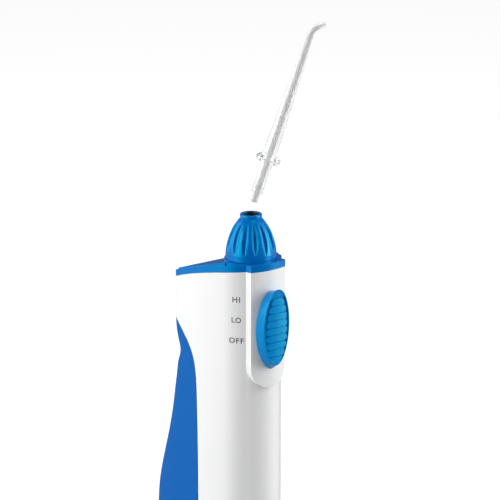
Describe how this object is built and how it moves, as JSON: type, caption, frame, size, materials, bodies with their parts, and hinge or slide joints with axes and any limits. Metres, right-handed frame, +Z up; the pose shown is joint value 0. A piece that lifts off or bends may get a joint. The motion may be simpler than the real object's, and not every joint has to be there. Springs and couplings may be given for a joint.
{
  "type": "water flosser",
  "caption": "Handheld cordless water flosser with a white housing, blue cap, fluted collar, slide switch, rear reservoir and a loose jet tip above the collar.",
  "frame": {"origin": "where the collar's axis meets the surface the flosser stands on, on the foot pad's lower face", "axes": "+Z up along the collar's axis, -Y to the front with the slide switch, +Y to the reservoir, +X to the flosser's left as seen from its rear"},
  "size_m": [0.0551, 0.0851, 0.3152],
  "materials": {
    "white_shell": "polished injection-moulded ABS",
    "blue_shell": "polished injection-moulded ABS",
    "tank_blue": "tinted glossy moulding",
    "tip_clear": "translucent natural moulding",
    "grey_acetal": "as moulded",
    "white_acetal": "as moulded",
    "brass": "machined",
    "soft_grey": "moulded silicone",
    "clear_hose": "natural silicone",
    "steel": "plain",
    "cell_sleeve": "shrink sleeve",
    "board_green": "solder mask",
    "black_moulding": "as moulded"
  },
  "bodies": {
    "housing": {"front_housing": "white_shell", "rear_inner_cover": "white_shell", "top_cap": "blue_shell", "base_cover": "white_shell", "foot_pad": "soft_grey", "base_screws": "steel", "pump_frame": "grey_acetal", "motor_can": "steel", "motor_screws": "steel", "gear_axle": "steel", "pump_cylinder": "white_acetal", "pump_head": "white_acetal", "inlet_valve": "soft_grey", "outlet_valve": "soft_grey", "inlet_hose": "clear_hose", "feed_tube": "clear_hose", "inlet_spigot": "white_acetal", "battery_cell_left": "cell_sleeve", "battery_cell_right": "cell_sleeve", "battery_holder": "grey_acetal", "cell_contacts": "steel", "circuit_board": "board_green", "board_screws": "steel", "slide_contacts": "black_moulding", "charging_socket": "black_moulding"},
    "collar": {"tip_collar": "blue_shell", "tip_socket": "grey_acetal", "collar_clip": "grey_acetal"},
    "tip": {"jet_tip": "tip_clear"},
    "switch": {"slide_switch": "blue_shell", "slide_carrier": "grey_acetal"},
    "tank": {"reservoir": "tank_blue", "door_pin": "steel", "outlet_seal": "soft_grey", "outlet_filter": "white_acetal"},
    "door": {"fill_door": "tank_blue", "door_seal": "soft_grey"},
    "crank": {"crank_gear": "white_acetal", "crank_pin": "steel"},
    "rotor": {"motor_shaft": "steel", "pinion": "brass"},
    "rod": {"con_rod": "white_acetal"},
    "plunger": {"piston": "white_acetal", "wrist_pin": "steel", "piston_seal": "soft_grey"}
  },
  "joints": [
    {"name": "collar_turn", "type": "hinge", "parent": "housing", "child": "collar", "pos_m": [0, 0, 0.19], "axis": [0, 0, 1], "continuous": true},
    {"name": "tip_unplug", "type": "hinge", "parent": "collar", "child": "tip", "pos_m": [0.07459, -0.0552, 0.1978], "axis": [0.5949, 0.8038, 0], "range_deg": [-18.2, 20]},
    {"name": "switch_slide", "type": "slide", "parent": "housing", "child": "switch", "axis": [0, 0, 1], "range_m": [0, 0.008]},
    {"name": "reservoir_pull", "type": "slide", "parent": "housing", "child": "tank", "axis": [0, 1, 0], "range_m": [0, 0.045]},
    {"name": "fill_door_hinge", "type": "hinge", "parent": "tank", "child": "door", "pos_m": [0, 0.0441, 0.097], "axis": [-1, 0, 0], "range_deg": [0, 110]},
    {"name": "crank_gear_spin", "type": "hinge", "parent": "housing", "child": "crank", "pos_m": [0, 0.0144, 0.1012], "axis": [0, 1, 0], "continuous": true},
    {"name": "motor_spin", "type": "hinge", "parent": "housing", "child": "rotor", "pos_m": [0, 0.0144, 0.082], "axis": [0, 1, 0], "continuous": true},
    {"name": "con_rod_swing", "type": "hinge", "parent": "crank", "child": "rod", "pos_m": [0, 0.009, 0.1052], "axis": [0, 1, 0], "continuous": true},
    {"name": "piston_stroke", "type": "slide", "parent": "housing", "child": "plunger", "axis": [0, 0, 1], "range_m": [-0.008, 0]}
  ],
  "couplings": [
    {"joint": "motor_spin", "follows": "crank_gear_spin", "ratio": -3},
    {"joint": "con_rod_swing", "follows": "crank_gear_spin", "ratio": -1}
  ]
}
